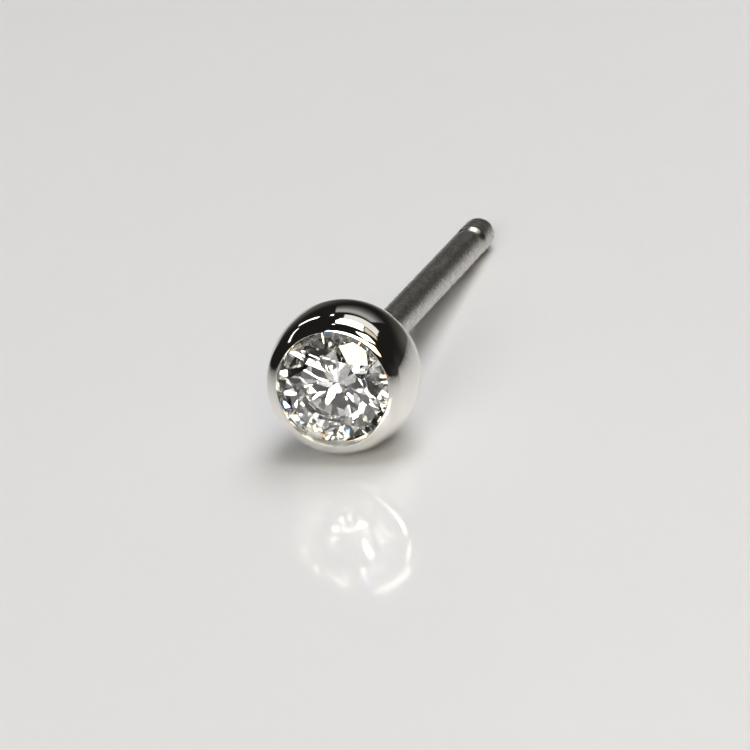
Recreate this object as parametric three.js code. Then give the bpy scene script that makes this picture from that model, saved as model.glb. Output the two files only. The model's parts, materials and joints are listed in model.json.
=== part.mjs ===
// Bezel-set stud earring, in millimetres.
// It lies as it rests by itself: the belly of the setting and the tip of the post touch Z = 0,
// the stone faces forward (-Y) and a little up, and the post runs back (+Y).
// Origin: the middle of the box around it, at the surface that it lies on.

import * as THREE from 'three';
import { ConvexGeometry } from 'three/addons/geometries/ConvexGeometry.js';

const DEGREE = Math.PI / 180;

// Stone, a round brilliant
const STONE_WIDTH = 2.75;                // across the girdle
const TABLE_WIDTH = 1.57;                // across the corners of the flat top
const GIRDLE_HEIGHT = 0.08;
const CROWN_ANGLE = 34.5 * DEGREE;
const PAVILION_ANGLE = 40.75 * DEGREE;
const MAIN_FACETS = 8;                   // around the crown, and as many below
const STAR_REACH = 0.5;                  // share of the way from the table's edge to the girdle
const LOWER_REACH = 0.77;                // share of the way from the girdle to the culet
const STONE_TURN = 9 * DEGREE;           // how the facets are turned in the setting

// Setting, a round cup with its lip pressed over the stone's edge
const STONE_GAP = 0.025;                 // between stone and metal, square to their faces
const LIP_COVER = 0.065;                 // how far the lip laps over the crown, seen from the front
const BEVEL_WIDTH = 0.12;                // bright-cut edge inside the lip, seen from the front
const BEVEL_HEIGHT = 0.10;
const LIP_WIDTH = 0.254;                 // the whole lip, seen from the front
const LIP_ROUND = 0.10;                  // how far down the lip's outer edge is rounded
const BELLY_SWELL = 0.196;               // how far the belly stands out past the lip
const BELLY_DEPTH = 1.165;               // from the lip's crest to the widest ring
const BEARING_WIDTH = 0.30;              // cone that carries the stone, seen from the front
const CULET_ROOM = 0.30;                 // free depth under the stone's point
const BACK_WALL = 0.75;                  // metal behind that hollow
const BACK_LAND = 0.50;                  // flat ring on the back that meets the ear
const FRONT_FULLNESS = 2.34;             // exponent of the curve from belly to lip
const BACK_FULLNESS = 1.8;               // exponent of the curve from belly to back

// Post
const POST_WIDTH = 0.80;
const POST_LENGTH = 11.3;                // from the setting's back face to the tip
const SOLDER_FILLET = 0.15;
const TIP_ROUND = 0.33;
const GROOVE_FROM_TIP = 1.25;            // to the middle of the groove
const GROOVE_WIDTH = 0.45;
const GROOVE_DEPTH = 0.07;

// Fineness of the turned metal
const SIDES = 32;
const CURVE_STEPS = 9;
const EDGE_STEPS = 4;

// Levels and radii along the axis. Level 0 is the ring where the lip's edge reaches the stone,
// and levels rise towards the wearer's front.
const stoneRadius = STONE_WIDTH / 2;
const openingRadius = stoneRadius - LIP_COVER;
const cupRadius = stoneRadius + STONE_GAP;
const mouthRadius = openingRadius + LIP_WIDTH;
const bellyRadius = mouthRadius + BELLY_SWELL;
const postRadius = POST_WIDTH / 2;
const backRadius = postRadius + SOLDER_FILLET + BACK_LAND;

const crestLevel = BEVEL_HEIGHT;
const bellyLevel = crestLevel - BELLY_DEPTH;
const girdleTop = -LIP_COVER * Math.tan(CROWN_ANGLE) - STONE_GAP / Math.cos(CROWN_ANGLE);
const girdleBottom = girdleTop - GIRDLE_HEIGHT;
const culetLevel = girdleBottom - stoneRadius * Math.tan(PAVILION_ANGLE);
const floorLevel = culetLevel - CULET_ROOM;
const backLevel = floorLevel - BACK_WALL;
const tipLevel = backLevel - POST_LENGTH;

// Level of the cone that carries the stone, parallel to the pavilion, at a given radius
function bearingLevel(radius) {
  const below = STONE_GAP / Math.cos(PAVILION_ANGLE);
  return girdleBottom - (stoneRadius - radius) * Math.tan(PAVILION_ANGLE) - below;
}

// Points of a quarter turn round a centre, from one angle to another
function roundEdge(radius, level, size, from, to) {
  const arc = new THREE.Path().absarc(radius, level, size, from, to, to < from);
  return arc.getPoints(EDGE_STEPS);
}

// Points of the full curve between the belly and a narrower end, from the belly outwards
function swellingWall(endRadius, endLevel, fullness) {
  const points = [];
  const drop = 1 - (endRadius / bellyRadius) ** fullness;
  for (let step = 0; step <= CURVE_STEPS; step += 1) {
    const share = step / CURVE_STEPS;
    const radius = bellyRadius * (1 - drop * share ** fullness) ** (1 / fullness);
    points.push(new THREE.Vector2(radius, THREE.MathUtils.lerp(bellyLevel, endLevel, share)));
  }
  return points;
}

// Points of the groove near the tip, from its end at the tip side
function grooveWall() {
  const points = [];
  const steps = 2 * EDGE_STEPS;
  for (let step = 0; step <= steps; step += 1) {
    const share = step / steps;
    const depth = GROOVE_DEPTH * Math.sin(Math.PI * share) ** 2;
    const level = tipLevel + GROOVE_FROM_TIP + (share - 0.5) * GROOVE_WIDTH;
    points.push(new THREE.Vector2(postRadius - depth, level));
  }
  return points;
}

// Half section of cup and post in one, from the tip up the outside, over the lip and down inside
function metalSection() {
  const filletRadius = postRadius + SOLDER_FILLET;
  const fillet = roundEdge(filletRadius, backLevel - SOLDER_FILLET, SOLDER_FILLET, Math.PI, Math.PI / 2);
  const tip = roundEdge(postRadius - TIP_ROUND, tipLevel + TIP_ROUND, TIP_ROUND, -Math.PI / 2, 0);
  const back = swellingWall(backRadius, backLevel, BACK_FULLNESS).reverse();
  const front = swellingWall(mouthRadius, crestLevel, FRONT_FULLNESS);
  const frontWall = front.slice(1).filter((point) => point.y < crestLevel - LIP_ROUND);
  const wallEnd = frontWall[frontWall.length - 1];
  const bevelRadius = openingRadius + BEVEL_WIDTH;
  const lip = new THREE.Path().moveTo(wallEnd.x, wallEnd.y);
  lip.quadraticCurveTo(mouthRadius, crestLevel, bevelRadius, crestLevel);
  const bearingEnd = cupRadius - BEARING_WIDTH;
  return [
    new THREE.Vector2(0, tipLevel),
    ...tip,
    ...grooveWall(),
    ...fillet,
    ...back,
    ...frontWall,
    ...lip.getPoints(EDGE_STEPS).slice(1),
    new THREE.Vector2(openingRadius, 0),
    new THREE.Vector2(cupRadius, -(LIP_COVER + STONE_GAP) * Math.tan(CROWN_ANGLE)),
    new THREE.Vector2(cupRadius, bearingLevel(cupRadius)),
    new THREE.Vector2(bearingEnd, bearingLevel(bearingEnd)),
    new THREE.Vector2(bearingEnd, floorLevel),
    new THREE.Vector2(0, floorLevel),
  ];
}

// Turned round the axis, with the middle of one flat, not a corner, on the underside
function bezelWithPost(section) {
  const geometry = new THREE.LatheGeometry(section, SIDES, Math.PI / SIDES);
  const material = new THREE.MeshStandardMaterial({ color: 0xdedbd5, roughness: 0.06, metalness: 1 });
  const mesh = new THREE.Mesh(geometry, material);
  mesh.name = 'bezel_with_post';
  return mesh;
}

// Corners of the stone on one ring: count of them, turned by half a step if between is true
function ringOfCorners(count, radius, level, between) {
  const corners = [];
  for (let index = 0; index < count; index += 1) {
    const angle = (index + (between ? 0.5 : 0)) * (2 * Math.PI / count);
    corners.push(new THREE.Vector3(radius * Math.sin(angle), level, radius * Math.cos(angle)));
  }
  return corners;
}

// Round brilliant: table, stars, main facets and halves all follow from the corners where they meet
function brilliant() {
  const tableRadius = TABLE_WIDTH / 2;
  const halfStep = Math.PI / MAIN_FACETS;
  const crownRise = Math.tan(CROWN_ANGLE);
  const pavilionFall = Math.tan(PAVILION_ANGLE);
  const tableLevel = girdleTop + (stoneRadius - tableRadius) * crownRise;
  const tableEdge = tableRadius * Math.cos(halfStep);
  const starRadius = THREE.MathUtils.lerp(tableEdge, stoneRadius, STAR_REACH);
  const starLevel = girdleTop + (stoneRadius - starRadius * Math.cos(halfStep)) * crownRise;
  const lowerRadius = stoneRadius * (1 - LOWER_REACH);
  const lowerLevel = girdleBottom - (stoneRadius - lowerRadius * Math.cos(halfStep)) * pavilionFall;
  const corners = [
    ...ringOfCorners(MAIN_FACETS, tableRadius, tableLevel, false),
    ...ringOfCorners(MAIN_FACETS, starRadius, starLevel, true),
    ...ringOfCorners(2 * MAIN_FACETS, stoneRadius, girdleTop, false),
    ...ringOfCorners(2 * MAIN_FACETS, stoneRadius, girdleBottom, false),
    ...ringOfCorners(MAIN_FACETS, lowerRadius, lowerLevel, true),
    new THREE.Vector3(0, culetLevel, 0),
  ];
  const material = new THREE.MeshStandardMaterial({ color: 0xf4f4f6, roughness: 0.02, metalness: 0 });
  const mesh = new THREE.Mesh(new ConvexGeometry(corners), material);
  mesh.name = 'stone';
  mesh.rotation.y = STONE_TURN;
  return mesh;
}

// Tilt at which the lowest point of the setting and the lowest point of the post are level
function restingTilt(section) {
  const flatShare = Math.cos(Math.PI / SIDES);
  const lowest = (points, tilt) => Math.min(
    ...points.map((point) => point.y * Math.sin(tilt) - point.x * flatShare * Math.cos(tilt)),
  );
  const setting = section.filter((point) => point.y >= backLevel);
  const post = section.filter((point) => point.y < backLevel);
  let low = 0;
  let high = Math.PI / 4;
  for (let round = 0; round < 50; round += 1) {
    const middle = (low + high) / 2;
    if (lowest(setting, middle) < lowest(post, middle)) low = middle;
    else high = middle;
  }
  return (low + high) / 2;
}

const section = metalSection();
const lying = new THREE.Group();
lying.add(bezelWithPost(section), brilliant());
lying.rotation.x = Math.PI - restingTilt(section);

const earring = new THREE.Group();
earring.add(lying);
earring.updateMatrixWorld(true);
const box = new THREE.Box3().setFromObject(earring, true);
const middle = box.getCenter(new THREE.Vector3());
lying.position.set(-middle.x, -middle.y, -box.min.z);

export default earring;
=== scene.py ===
import json
import math

import bpy
from mathutils import Matrix, Vector


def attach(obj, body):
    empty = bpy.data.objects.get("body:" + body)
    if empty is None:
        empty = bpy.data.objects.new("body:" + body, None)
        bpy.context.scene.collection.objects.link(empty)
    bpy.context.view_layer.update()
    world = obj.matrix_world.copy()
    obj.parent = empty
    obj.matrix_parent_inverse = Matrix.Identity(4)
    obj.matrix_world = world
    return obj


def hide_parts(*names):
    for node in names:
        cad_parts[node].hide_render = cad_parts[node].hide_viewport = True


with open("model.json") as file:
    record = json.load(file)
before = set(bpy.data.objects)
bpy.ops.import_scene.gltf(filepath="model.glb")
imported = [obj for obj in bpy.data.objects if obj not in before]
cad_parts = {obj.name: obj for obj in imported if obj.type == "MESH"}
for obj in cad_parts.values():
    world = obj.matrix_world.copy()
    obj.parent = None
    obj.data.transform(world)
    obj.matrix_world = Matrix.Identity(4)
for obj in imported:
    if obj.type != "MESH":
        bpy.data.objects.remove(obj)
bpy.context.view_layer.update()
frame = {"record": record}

# Setting and post: a cup turned from white gold, its lip pressed over the stone's edge and cut bright
# inside, polished on a wheel, which softens its edges. A straight satin post, with a groove near its
# rounded tip for the clutch, is soldered to the middle of its back.

MM = 0.001
# The frame's solid has flats, and the round piece is as thick as that solid is across its flats.
FLATS_IN_FRAME = 32
TRUE_ROUND = math.cos(math.pi / FLATS_IN_FRAME)

# Sizes are in millimetres. Level 0 is the ring where the lip meets the stone, and levels rise to the front.
stone_radius = 1.375
crown_slope = math.tan(math.radians(34.5))
pavilion_slope = math.tan(math.radians(40.75))
lip_cover = 0.065
bevel_height = 0.10
lip_width = 0.254
belly_swell = 0.196
belly_depth = 1.165
stone_gap = 0.025
girdle_height = 0.08
bearing_width = 0.30
culet_room = 0.30
back_wall = 0.75
back_land = 0.50
front_fullness = 2.34
back_fullness = 1.8
lip_round = 0.10
lip_dome = 0.17
edge_width = 0.022
wall_pull = 0.09
crest_pull = 0.07
edge_ease = 0.012
foot_ease = 0.008
post_radius = 0.40
post_length = 11.3
solder_fillet = 0.15
tip_round = 0.33
tip_inset = 0.003
groove_from_tip = 1.25
groove_width = 0.45
groove_depth = 0.07
back_shares = (0.3, 0.7, 0.94)  # where points lie along the flat ring on the back

opening_radius = stone_radius - lip_cover
cup_radius = stone_radius + stone_gap
mouth_radius = opening_radius + lip_width
belly_radius = mouth_radius + belly_swell
back_radius = post_radius + solder_fillet + back_land
girdle_top = -lip_cover * crown_slope - stone_gap * math.hypot(1, crown_slope)
girdle_bottom = girdle_top - girdle_height
culet_level = girdle_bottom - stone_radius * pavilion_slope
floor_level = culet_level - culet_room
back_level = floor_level - back_wall
tip_level = back_level - post_length
crest_level = bevel_height
belly_level = crest_level - belly_depth


def bearing_level(radius):
    below = stone_gap * math.hypot(1, pavilion_slope)
    return girdle_bottom - (stone_radius - radius) * pavilion_slope - below


def quarter_turn(radius, level, size, start, end, steps=12):
    """Points of a round edge, from one angle to another."""
    turns = [start + (end - start) * step / steps for step in range(steps + 1)]
    return [(radius + size * math.cos(turn), level + size * math.sin(turn)) for turn in turns]


def swelling_wall(end_radius, end_level, fullness, steps=40):
    """Points of the full curve from the belly to a narrower end."""
    drop = 1 - (end_radius / belly_radius) ** fullness
    wall = []
    for step in range(steps + 1):
        share = step / steps
        radius = belly_radius * (1 - drop * share**fullness) ** (1 / fullness)
        wall.append((radius, belly_level + (end_level - belly_level) * share))
    return wall


def soften(corner_points, rounds, steps=5):
    """A section whose named corners are eased by a small curve. rounds: corner number to size."""
    eased = []
    for number, corner in enumerate(corner_points):
        if number not in rounds:
            eased.append(corner)
            continue
        here = Vector(corner)
        before = Vector(corner_points[number - 1])
        after = Vector(corner_points[number + 1])
        start = here + (before - here).normalized() * min(rounds[number], (before - here).length / 2)
        end = here + (after - here).normalized() * min(rounds[number], (after - here).length / 2)
        for step in range(steps + 1):
            share = step / steps
            point = start * (1 - share) ** 2 + here * 2 * share * (1 - share) + end * share**2
            eased.append((point.x, point.y))
    return eased


def metal_section():
    """Half section, from the tip up the outside, over the lip and down inside."""
    fillet_radius = post_radius + solder_fillet
    outside = [(0, tip_level + tip_inset)]
    tip_centre = tip_level + tip_inset + tip_round
    outside += quarter_turn(post_radius - tip_round, tip_centre, tip_round, -math.pi / 2, 0)
    groove_steps = 20
    for step in range(groove_steps + 1):
        share = step / groove_steps
        depth = groove_depth * math.sin(math.pi * share) ** 2
        outside.append((post_radius - depth, tip_level + groove_from_tip + (share - 0.5) * groove_width))
    post_steps = 60
    post_start = tip_level + groove_from_tip + 0.5 * groove_width
    post_end = back_level - solder_fillet
    for step in range(1, post_steps):
        outside.append((post_radius, post_start + (post_end - post_start) * step / post_steps))
    outside += quarter_turn(fillet_radius, back_level - solder_fillet, solder_fillet, math.pi, math.pi / 2)
    outside += [(fillet_radius + back_land * share, back_level) for share in back_shares]
    outside += swelling_wall(back_radius, back_level, back_fullness)[::-1][1:]
    front = swelling_wall(mouth_radius, crest_level, front_fullness)
    outside += [point for point in front[1:] if point[1] < crest_level - lip_round]
    wall_end = outside[-1]
    edge = (opening_radius + edge_width, lip_dome)
    along = (Vector(wall_end) - Vector(outside[-2])).normalized() * wall_pull
    pulls = (wall_end, (wall_end[0] + along.x, wall_end[1] + along.y), (edge[0] + crest_pull, lip_dome), edge)
    lip_steps = 24
    for step in range(1, lip_steps):
        share = step / lip_steps
        rest = 1 - share
        weights = (rest**3, 3 * rest * rest * share, 3 * rest * share * share, share**3)
        outside.append(tuple(sum(w * pull[axis] for w, pull in zip(weights, pulls)) for axis in (0, 1)))
    inside = [
        edge,
        (opening_radius, 0),
        (cup_radius, -(lip_cover + stone_gap) * crown_slope),
        (cup_radius, bearing_level(cup_radius)),
        (cup_radius - bearing_width, bearing_level(cup_radius - bearing_width)),
        (cup_radius - bearing_width, floor_level),
        (0, floor_level),
    ]
    first_inside = len(outside)
    return soften(outside + inside, {first_inside: edge_ease, first_inside + 1: foot_ease})


class Link:
    """A node's output, on which plain sums add their Math nodes."""

    def __init__(self, bench, socket):
        self.bench, self.socket = bench, socket

    def maths(self, operation, *others):
        return self.bench.add("ShaderNodeMath", {"operation": operation}, dict(enumerate((self, *others))))

    def fade(self, start, end, shape="LINEAR"):
        """0 at the start and 1 at the end, and level beyond them."""
        ends = {"Value": self, "From Min": start, "From Max": end}
        return self.bench.add("ShaderNodeMapRange", {"interpolation_type": shape}, ends)

    def __add__(self, other):
        return self.maths("ADD", other)

    def __sub__(self, other):
        return self.maths("SUBTRACT", other)

    def __mul__(self, other):
        return self.maths("MULTIPLY", other)

    def __truediv__(self, other):
        return self.maths("DIVIDE", other)

    def __rsub__(self, other):
        return self.bench.add("ShaderNodeMath", {"operation": "SUBTRACT"}, {0: other, 1: self})

    def __rtruediv__(self, other):
        return self.bench.add("ShaderNodeMath", {"operation": "DIVIDE"}, {0: other, 1: self})

    __radd__ = __add__
    __rmul__ = __mul__


class Bench:
    """A node tree and the one way in which nodes are put on it."""

    def __init__(self, tree):
        self.tree = tree

    def add(self, kind, settings=None, sockets=None, output=0, captured=()):
        """A new node. captured: names of the values that a capture node keeps."""
        node = self.tree.nodes.new(kind)
        for name, value in (settings or {}).items():
            setattr(node, name, value)
        for name in captured:
            node.capture_items.new("FLOAT", name)
        for name, value in (sockets or {}).items():
            if isinstance(name, int):
                target = node.inputs[name]
            else:
                target = next(s for s in node.inputs if name in (s.name, s.identifier) and s.enabled)
            if isinstance(value, (Link, list)):
                for link in value if isinstance(value, list) else [value]:
                    self.tree.links.new(link.socket, target)
            else:
                target.default_value = value
        self.last = node
        if not node.outputs:
            return None
        return Link(self, node.outputs[output])

    def also(self, output):
        """Another output of the node that was added last."""
        return Link(self, self.last.outputs[output])

    def blend(self, share, first, second):
        """A mix of two colours."""
        self.add("ShaderNodeMix", {"data_type": "RGBA"}, {"Factor": share, "A": first, "B": second})
        return Link(self, next(s for s in self.last.outputs if s.enabled))


def blank_bench(owner):
    """The bench of a material or world, with its nodes cleared."""
    owner.use_nodes = True
    owner.node_tree.nodes.clear()
    return Bench(owner.node_tree)


def put(name, data):
    """A new object in the scene."""
    thing = bpy.data.objects.new(name, data)
    bpy.context.scene.collection.objects.link(thing)
    return thing


def shape_tree(name, sizes):
    """A new shape tree with its named sizes: rows of name, kind and value."""
    tree = bpy.data.node_groups.new(name, "GeometryNodeTree")
    tree.interface.new_socket("Geometry", in_out="INPUT", socket_type="NodeSocketGeometry")
    for size_name, kind, value in sizes:
        socket = tree.interface.new_socket(size_name, in_out="INPUT", socket_type="NodeSocket" + kind)
        if value is not None:
            socket.default_value = value
    tree.interface.new_socket("Geometry", in_out="OUTPUT", socket_type="NodeSocketGeometry")
    bench = Bench(tree)
    bench.add("NodeGroupInput")
    inputs = {socket.name: Link(bench, socket) for socket in bench.last.outputs if socket.name}
    return bench, inputs


def finish_tree(bench, geometry, material):
    solid = bench.add("GeometryNodeRealizeInstances", {}, {"Geometry": geometry})
    dressed = bench.add("GeometryNodeSetMaterial", {}, {"Geometry": solid, "Material": material})
    bench.add("NodeGroupOutput", {}, {0: dressed})


def grow(name, mesh, tree, values):
    """Runs a shape tree on a mesh with its sizes set, and returns the result as a plain object."""
    seed_object = put(name + "_start", mesh)
    modifier = seed_object.modifiers.new("shape", "NODES")
    modifier.node_group = tree
    for item in tree.interface.items_tree:
        if item.in_out == "INPUT" and item.name in values:
            modifier[item.identifier] = values[item.name]
    graph = bpy.context.evaluated_depsgraph_get()
    graph.update()
    grown = bpy.data.meshes.new_from_object(seed_object.evaluated_get(graph), depsgraph=graph)
    bpy.data.objects.remove(seed_object)
    grown.name = name
    return put(name, grown)


def turned_metal_tree():
    bench, size = shape_tree(
        "turned metal",
        [
            ("Columns", "Int", 224),
            ("Polish sway", "Float", 0.003),
            ("Bevel width", "Float", 0.09),
            ("Bevel lowering", "Float", 0.2),
            ("Bevel heading", "Float", 0.0),
            ("Bevel reach", "Float", math.radians(60)),
            ("Seed", "Float", 3.0),
            ("Metal", "Material", None),
        ],
    )
    add, also = bench.add, bench.also
    outline = add("GeometryNodeMeshToCurve", {}, {0: size["Geometry"]})
    place = add("GeometryNodeInputPosition")
    add("ShaderNodeSeparateXYZ", {}, {0: place})
    corner = {"Geometry": outline, "Radius": also("X"), "Level": also("Y")}
    profile = add("GeometryNodeCaptureAttribute", {}, corner, captured=("Radius", "Level"))
    radius, level = also("Radius"), also("Level")
    ring = add("GeometryNodeCurvePrimitiveCircle", {}, {"Resolution": size["Columns"], "Radius": 1.0})
    column = add("GeometryNodeInputIndex")
    column_turn = {"Geometry": ring, "Turn": column / size["Columns"] * math.tau}
    path = add("GeometryNodeCaptureAttribute", {}, column_turn, captured=("Turn",))
    turn = also("Turn")
    swept = add("GeometryNodeCurveToMesh", {}, {"Curve": path, "Profile Curve": profile})
    sine, cosine = turn.maths("SINE"), turn.maths("COSINE")
    length_share = 0.6
    around = {"X": sine * radius, "Y": level * length_share, "Z": cosine * radius}
    waver = add(
        "ShaderNodeTexNoise",
        {"noise_dimensions": "4D"},
        {
            "Vector": add("ShaderNodeCombineXYZ", {}, around),
            "W": size["Seed"],
            "Scale": 1.1,
            "Detail": 1.0,
            "Roughness": 0.4,
        },
    )
    off_heading = (turn - size["Bevel heading"]).maths("COSINE")
    cut_here = off_heading.fade(size["Bevel reach"].maths("COSINE"), 1.0, "SMOOTHSTEP")
    hair = 0.0001
    axis_clearance = 0.01
    cut_overlap = 1.2
    crease_angle = 0.45
    edge_radius = opening_radius + edge_width
    above_ring = level.maths("GREATER_THAN", -hair)
    on_lip = above_ring * radius.fade(mouth_radius, edge_radius) * radius.fade(opening_radius, edge_radius)
    moved = (size["Bevel width"] - edge_width) * cut_here * on_lip
    off_axis = radius.maths("GREATER_THAN", axis_clearance)
    swayed = radius + moved + size["Polish sway"] * (waver - 1) * off_axis
    lowered = level * (1 - size["Bevel lowering"] * cut_here * level.maths("GREATER_THAN", 0.0))
    spot = add("ShaderNodeCombineXYZ", {}, {"X": swayed * sine, "Y": lowered, "Z": swayed * cosine})
    moved_surface = add("GeometryNodeSetPosition", {}, {"Geometry": swept, "Position": spot})
    inside_edge = (opening_radius + cut_overlap * edge_width - radius).maths("GREATER_THAN", 0.0)
    shaped = add(
        "GeometryNodeStoreNamedAttribute",
        {"data_type": "FLOAT", "domain": "POINT"},
        {"Geometry": moved_surface, "Name": "cut", "Value": cut_here * (above_ring * inside_edge)},
    )
    closed = add("GeometryNodeMergeByDistance", {}, {"Geometry": shaped, "Distance": hair})
    smooth = add("GeometryNodeSetShadeSmooth", {}, {0: closed, "Shade Smooth": True})
    bend = add("GeometryNodeInputMeshEdgeAngle")
    bend_limit = {0: bend, 1: crease_angle}
    crease = add("FunctionNodeCompare", {"data_type": "FLOAT", "operation": "LESS_THAN"}, bend_limit)
    creased = add("GeometryNodeSetShadeSmooth", {"domain": "EDGE"}, {0: smooth, "Shade Smooth": crease})
    finish_tree(bench, creased, size["Metal"])
    return bench.tree


# The turned piece's own axes, in the frame: its levels run along the axis through the ear's face
ear_face = next(mount for mount in frame["record"]["mounts"] if mount["name"] == "ear_face")
ear_axis = Vector(ear_face["axis"])
to_stone = -ear_axis
foot = Vector((0, ear_face["pos_m"][1], ear_face["pos_m"][2]))
foot_along = foot.dot(ear_axis)
lip_ring = foot - to_stone * back_level * MM
across = Vector((1, 0, 0))
lathe_axes = Matrix((across, to_stone, across.cross(to_stone))).transposed().to_4x4()
in_place = Matrix.Translation(lip_ring) @ lathe_axes @ Matrix.Scale(MM, 4)

dull_gold = (0.80, 0.775, 0.735, 1)
bright_gold = (0.88, 0.86, 0.82, 1)
# The post's colour is a darker copy of the cup's gold. That is painted shade, not another alloy; its satin
# finish is only the higher roughness set below.
post_painted_shade_gold = (0.50, 0.488, 0.463, 1)
satin_and_shade_fade = 0.4 * MM
white_gold = bpy.data.materials.new("polished_white_gold")
polish = blank_bench(white_gold)
here = polish.add("ShaderNodeTexCoord", {}, {}, "Object")
haze = polish.add("ShaderNodeTexNoise", {}, {"Vector": here, "Scale": 1800.0, "Detail": 4.0})
scuffs = polish.add("ShaderNodeTexNoise", {}, {"Vector": here, "Scale": 9000.0, "Detail": 3.0})
stretch = polish.add("ShaderNodeMapping", {}, {"Vector": here, "Scale": (1.0, 0.06, 1.0)})
hairlines = polish.add("ShaderNodeTexNoise", {}, {"Vector": stretch, "Scale": 42000.0, "Detail": 2.0})
surface_lines = polish.add(
    "ShaderNodeBump", {}, {"Strength": 0.02, "Distance": 0.00002, "Height": hairlines + 0.5 * scuffs}
)
along = polish.add("ShaderNodeVectorMath", {"operation": "DOT_PRODUCT"}, {0: here, 1: ear_axis}, "Value")
on_post = along.fade(foot_along, foot_along + satin_and_shade_fade)
graver = polish.add("ShaderNodeAttribute", {"attribute_name": "cut"}, {}, "Fac")
polished_tone = polish.blend(haze, dull_gold, bright_gold)
# On the post the colour turns to that darker gold, which is painted shade, mottled at random by the scuffs.
tone = polish.blend(on_post * (0.4 + 1.2 * scuffs), polished_tone, post_painted_shade_gold)
mirror_blur = 0.03 + 0.05 * haze * haze
satin_blur = on_post * (0.14 + 0.20 * scuffs)
cut_blur = 0.30 * graver
shader = polish.add(
    "ShaderNodeBsdfPrincipled",
    {},
    {
        "Base Color": tone,
        "Metallic": 1.0,
        "Roughness": mirror_blur + satin_blur + cut_blur,
        "Normal": surface_lines,
    },
)
polish.add("ShaderNodeOutputMaterial", {}, {"Surface": shader})

section = metal_section()
section_mesh = bpy.data.meshes.new("section")
section_mesh.from_pydata(
    [(radius, level, 0) for radius, level in section],
    [(number, number + 1) for number in range(len(section) - 1)],
    [],
)
setting = grow("setting_and_post", section_mesh, turned_metal_tree(), {"Metal": white_gold})

true_size = Matrix.Diagonal((TRUE_ROUND, 1, TRUE_ROUND, 1))
setting.data.transform(in_place @ true_size)
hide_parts("bezel_with_post")
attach(setting, "root")

# Stone: a round brilliant cut from clear stone and polished, with 57 facets and a thin girdle, held in
# the cup by the lip. Its table faces forward and its point stays free inside the cup.

table_radius = 0.785
main_facets = 8
star_reach = 0.5
lower_reach = 0.77
stone_turn = math.radians(9)
girdle_columns = 96
culet_radius = 0.001


def brilliant_tree():
    bench, size = shape_tree(
        "round brilliant",
        [
            ("Radius", "Float", stone_radius),
            ("Table radius", "Float", table_radius),
            ("Crown slope", "Float", crown_slope),
            ("Pavilion slope", "Float", pavilion_slope),
            ("Girdle top", "Float", girdle_top),
            ("Girdle bottom", "Float", girdle_bottom),
            ("Star reach", "Float", star_reach),
            ("Lower reach", "Float", lower_reach),
            ("Facets", "Int", main_facets),
            ("Girdle columns", "Int", girdle_columns),
            ("Stone", "Material", None),
        ],
    )
    add = bench.add
    half_step = math.pi / size["Facets"]
    half_cosine = half_step.maths("COSINE")
    quarter_cosine = (half_step * 0.5).maths("COSINE")

    def ring(count, radius, level, shift):
        """A ring of corners, turned by its shift in steps of the whole ring."""
        circle = add("GeometryNodeMeshCircle", {}, {"Vertices": count, "Radius": 1.0})
        index = add("GeometryNodeInputIndex")
        turn = (index + shift) / count * math.tau
        spot = add(
            "ShaderNodeCombineXYZ",
            {},
            {"X": radius * turn.maths("SINE"), "Y": level(turn), "Z": radius * turn.maths("COSINE")},
        )
        return add("GeometryNodeSetPosition", {}, {"Geometry": circle, "Position": spot})

    radius = size["Radius"]
    table_edge = size["Table radius"] * half_cosine
    star_radius = table_edge + (radius - table_edge) * size["Star reach"]
    table_level = size["Girdle top"] + (radius - size["Table radius"]) * size["Crown slope"]
    star_level = size["Girdle top"] + (radius - star_radius * half_cosine) * size["Crown slope"]
    lower_radius = radius * (1 - size["Lower reach"])
    lower_level = size["Girdle bottom"] - (radius - lower_radius * half_cosine) * size["Pavilion slope"]
    culet = size["Girdle bottom"] - radius * size["Pavilion slope"]

    def scallop(edge_level, inner_radius, inner_level):
        """Level at which the half facets meet the round girdle."""
        slope = (inner_level - edge_level) / ((radius - inner_radius) * quarter_cosine)

        def level(turn):
            off_middle = (turn / half_step).maths("FRACT") - 0.5
            return edge_level - slope * radius * ((off_middle * half_step).maths("COSINE") - quarter_cosine)

        return level

    rings = [
        ring(size["Facets"], size["Table radius"], lambda turn: table_level, 0.0),
        ring(size["Facets"], star_radius, lambda turn: star_level, 0.5),
        ring(size["Girdle columns"], radius, scallop(size["Girdle top"], star_radius, star_level), 0.0),
        ring(size["Girdle columns"], radius, scallop(size["Girdle bottom"], lower_radius, lower_level), 0.0),
        ring(size["Facets"], lower_radius, lambda turn: lower_level, 0.5),
        ring(3, culet_radius, lambda turn: culet, 0.0),
    ]
    joined = add("GeometryNodeJoinGeometry", {}, {0: rings})
    hull = add("GeometryNodeConvexHull", {}, {0: joined})
    flat = add("GeometryNodeSetShadeSmooth", {}, {0: hull, "Shade Smooth": False})
    finish_tree(bench, flat, size["Stone"])
    return bench.tree


clear_stone = bpy.data.materials.new("clear_cut_stone")
cutting = blank_bench(clear_stone)
on_stone = cutting.add("ShaderNodeTexCoord", {}, {}, "Object")
lap_marks = cutting.add("ShaderNodeTexNoise", {}, {"Vector": on_stone, "Scale": 2500.0, "Detail": 2.0})
lap_lines = cutting.add("ShaderNodeBump", {}, {"Strength": 0.01, "Distance": 0.00001, "Height": lap_marks})
glassy = cutting.add(
    "ShaderNodeBsdfPrincipled",
    {},
    {
        "Base Color": (1, 1, 1, 1),
        "Roughness": 0.004 * lap_marks,
        "IOR": 2.42,
        "Transmission Weight": 1.0,
        "Normal": lap_lines,
    },
)
cutting.add("ShaderNodeOutputMaterial", {}, {"Surface": glassy})

stone = grow("stone_cut", bpy.data.meshes.new("stone_start"), brilliant_tree(), {"Stone": clear_stone})
stone.data.transform(in_place @ Matrix.Rotation(stone_turn, 4, "Y"))
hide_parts("stone")
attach(stone, "root")

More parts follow.
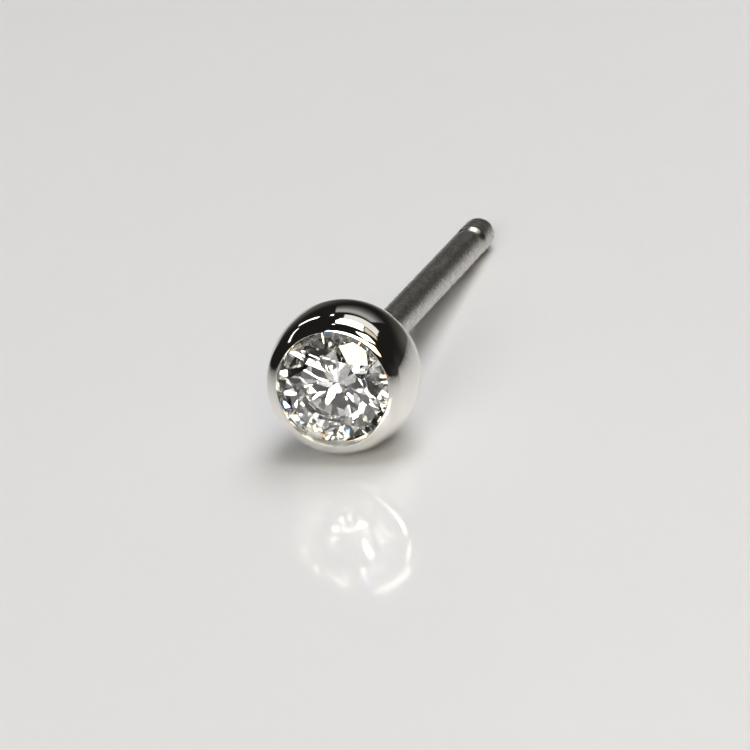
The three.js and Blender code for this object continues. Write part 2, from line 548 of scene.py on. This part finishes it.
# Floor and light: a pale plate with a faint gloss under a large soft ceiling light, tubes on the left, a
# warm strip on the right, in front a window with coloured edges and a cream card, and behind a low grey
# card, in a dark room that the polished metal mirrors.


def flat_sheet(name, corners, material):
    """A four-cornered sheet."""
    mesh = bpy.data.meshes.new(name)
    mesh.from_pydata(corners, [], [(0, 1, 2, 3)])
    mesh.materials.append(material)
    return put(name, mesh)


plate_half = 0.6
plate_corners = [(sx * plate_half, sy * plate_half, 0) for sx, sy in ((-1, -1), (1, -1), (1, 1), (-1, 1))]
pale = bpy.data.materials.new("pale_plate")
glazing = blank_bench(pale)
on_plate = glazing.add("ShaderNodeTexCoord", {}, {}, "Object")
clouds = glazing.add("ShaderNodeTexNoise", {}, {"Vector": on_plate, "Scale": 60.0, "Detail": 5.0})
plate_tone = glazing.blend(clouds, (0.660, 0.668, 0.705, 1), (0.680, 0.688, 0.725, 1))
plate_shader = glazing.add(
    "ShaderNodeBsdfPrincipled",
    {},
    {"Base Color": plate_tone, "Roughness": 0.05 + 0.04 * clouds, "Specular IOR Level": 0.2},
)
glazing.add("ShaderNodeOutputMaterial", {}, {"Surface": plate_shader})
plate = flat_sheet("plate", plate_corners, pale)

light_height = 0.30
standing_spread = math.radians(70)
ceiling_lights = {
    # name: right of and behind the earring, width and length (all in light heights), turn, brightness, colour
    "overhead": ((0.16, 0.25), (0.58, 1.20), 0, 4.7, (1.0, 0.99, 0.975)),
    "overhead_far": ((0.43, 1.06), (1.05, 0.38), 9, 0.95, (1.0, 0.98, 0.95)),
    "right_strip": ((0.72, 0.30), (0.46, 1.10), 0, 0.75, (1.0, 0.88, 0.66)),
    "left_tube_near": ((-1.58, -0.53), (0.09, 1.6), -32, 4.0, (1.0, 0.99, 0.97)),
    "left_tube_far": ((-1.30, 1.70), (0.09, 1.36), 52, 4.0, (1.0, 0.99, 0.97)),
    "spot_far": ((-0.39, 1.14), (0.07, 0.07), 0, 9.0, (1.0, 0.98, 0.95)),
    "spot_near": ((-0.20, -0.52), (0.05, 0.05), 0, 9.0, (1.0, 0.98, 0.95)),
}
standing_lights = {
    # name: right of, behind and above the earring, width, height, turn, lean, brightness, colour
    "front_window": ((0.032, -0.364, 0.163), (0.26, 0.10), 5, 66, 2.2, (1.0, 0.97, 0.82)),
    "front_window_blue": ((-0.105, -0.350, 0.16), (0.012, 0.09), -15, 66, 2.0, (0.25, 0.45, 1.0)),
    "front_window_amber": ((0.175, -0.325, 0.16), (0.026, 0.09), 26, 66, 1.6, (1.0, 0.55, 0.20)),
    "cream_card": ((0.13, -0.22, 0.24), (0.11, 0.09), 30, 45, 0.85, (1.0, 0.98, 0.80)),
}


def hang_light(name, place, width, length, turns, brightness, colour):
    lamp = bpy.data.lights.new(name, "AREA")
    lamp.shape = "RECTANGLE"
    lamp.size, lamp.size_y = width, length
    lamp.energy = brightness * math.pi * width * length
    lamp.color = colour
    holder = put(name, lamp)
    holder.location = place
    holder.rotation_euler = tuple(math.radians(turn) for turn in turns)
    return lamp


for name, (middle, spread, turn, brightness, colour) in ceiling_lights.items():
    place = (middle[0] * light_height, middle[1] * light_height, light_height)
    width, length = (share * light_height for share in spread)
    hang_light(name, place, width, length, (0, 0, turn), brightness, colour)
for name, (place, (width, height), turn, lean, brightness, colour) in standing_lights.items():
    lamp = hang_light(name, place, width, height, (lean, 0, turn), brightness, colour)
    lamp.spread = standing_spread

card_low, card_high, card_left, card_right, card_back = 0.145, 0.335, -0.13, 0.17, 0.45
glow_full, glow_falls = 0.27, 0.31
glow_top, glow_least = 0.40, 0.01
card_corners = [
    (card_left, card_back, card_low),
    (card_right, card_back, card_low),
    (card_right, card_back, card_high),
    (card_left, card_back, card_high),
]
glow = bpy.data.materials.new("rear_glow")
glowing = blank_bench(glow)
glowing.add("ShaderNodeTexCoord")
glowing.add("ShaderNodeSeparateXYZ", {}, {0: glowing.also("Object")})
height = glowing.also("Z")
rise = height.fade(card_low, glow_full)
fall = height.fade(card_high, glow_falls)
glow_strength = glow_top * rise * rise * fall + glow_least
emission = glowing.add("ShaderNodeEmission", {}, {"Color": (1.0, 0.985, 0.96, 1), "Strength": glow_strength})
glowing.add("ShaderNodeOutputMaterial", {}, {"Surface": emission})
card = flat_sheet("rear_card", card_corners, glow)

room_dim, rear_glow, side_glow = 0.013, 0.09, 0.03
room = bpy.data.worlds.new("dark_room")
walls = blank_bench(room)
walls.add("ShaderNodeTexCoord")
heading = walls.also("Generated")
walls.add("ShaderNodeSeparateXYZ", {}, {0: heading})
eastward, backward, upward = walls.also("X"), walls.also("Y"), walls.also("Z")
behind = backward.fade(0.7, 0.95, "SMOOTHSTEP")
beside = eastward.fade(0.5, 0.95, "SMOOTHSTEP")
low_down = upward.fade(0.30, 0.0, "SMOOTHSTEP")
room_strength = room_dim + low_down * (rear_glow * behind + side_glow * beside)
background = walls.add("ShaderNodeBackground", {}, {"Color": (1.0, 0.96, 0.88, 1), "Strength": room_strength})
walls.add("ShaderNodeOutputWorld", {}, {"Surface": background})
bpy.context.scene.world = room

# Camera: long lens, a fifth of a metre away, a little above the plate and turned slightly on its side.

camera_distance = 200 * MM
camera_azimuth = math.radians(16.782)
camera_elevation = math.radians(21.374)
camera_roll = math.radians(-6.486)
camera_right, camera_up = 0.9355, 0.2676
back = Vector(
    (
        math.sin(camera_azimuth) * math.cos(camera_elevation),
        -math.cos(camera_azimuth) * math.cos(camera_elevation),
        math.sin(camera_elevation),
    )
)
level_right = -back.cross(Vector((0, 0, 1))).normalized()
level_up = back.cross(level_right)
right = math.cos(camera_roll) * level_right + math.sin(camera_roll) * level_up
up = math.cos(camera_roll) * level_up - math.sin(camera_roll) * level_right
camera_data = bpy.data.cameras.new("camera")
camera_data.sensor_width = 36
camera_data.lens = 420.09
camera_data.clip_start = 0.01
camera_data.clip_end = 10
camera = put("camera", camera_data)
spot = lip_ring + back * camera_distance + (right * camera_right + up * camera_up) * MM
camera.matrix_world = Matrix.Translation(spot) @ Matrix((right, up, back)).transposed().to_4x4()
bpy.context.scene.camera = camera

scene = bpy.context.scene
scene.view_settings.view_transform = "Standard"
scene.view_settings.look = "None"
scene.cycles.max_bounces = 24
scene.cycles.transmission_bounces = 20
scene.cycles.glossy_bounces = 12
